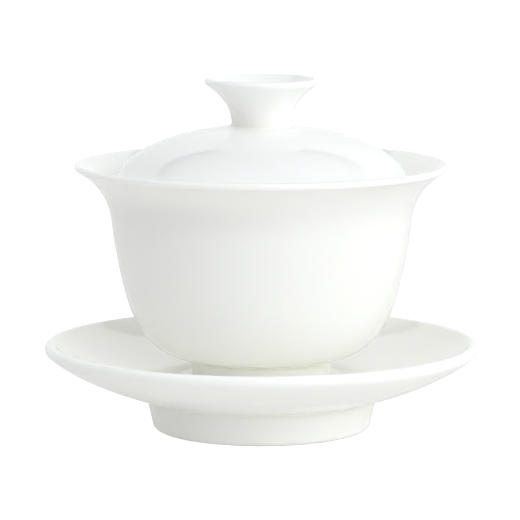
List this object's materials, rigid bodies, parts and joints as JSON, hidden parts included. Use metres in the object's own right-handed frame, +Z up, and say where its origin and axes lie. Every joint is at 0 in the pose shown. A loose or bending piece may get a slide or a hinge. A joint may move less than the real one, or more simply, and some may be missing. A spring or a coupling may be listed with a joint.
{
  "type": "gaiwan",
  "caption": "Plain white porcelain lidded tea bowl with a flared mouth, a domed lid with a hollow flared knob, and a footed saucer.",
  "frame": {"origin": "middle of the saucer's foot ring, on the plane that it stands on", "axes": "+Z up along the axis about which saucer, bowl and lid are turned; +X and +Y are level"},
  "size_m": [0.111, 0.111, 0.09],
  "materials": {
    "saucer_glaze": "clear gloss glaze over white porcelain, foot ring bare",
    "bowl_glaze": "clear gloss glaze over white porcelain, foot ring bare",
    "lid_glaze": "clear gloss glaze over white porcelain, seating edge bare"
  },
  "bodies": {
    "saucer": {"saucer": "saucer_glaze"},
    "bowl": {"bowl": "bowl_glaze"},
    "lid": {"lid": "lid_glaze"}
  },
  "joints": [
    {"name": "bowl_lift", "type": "slide", "parent": "saucer", "child": "bowl", "axis": [0, 0, 1], "range_m": [0, 0.06]},
    {"name": "lid_lift", "type": "slide", "parent": "bowl", "child": "lid", "axis": [0, 0, 1], "range_m": [0, 0.06]}
  ]
}
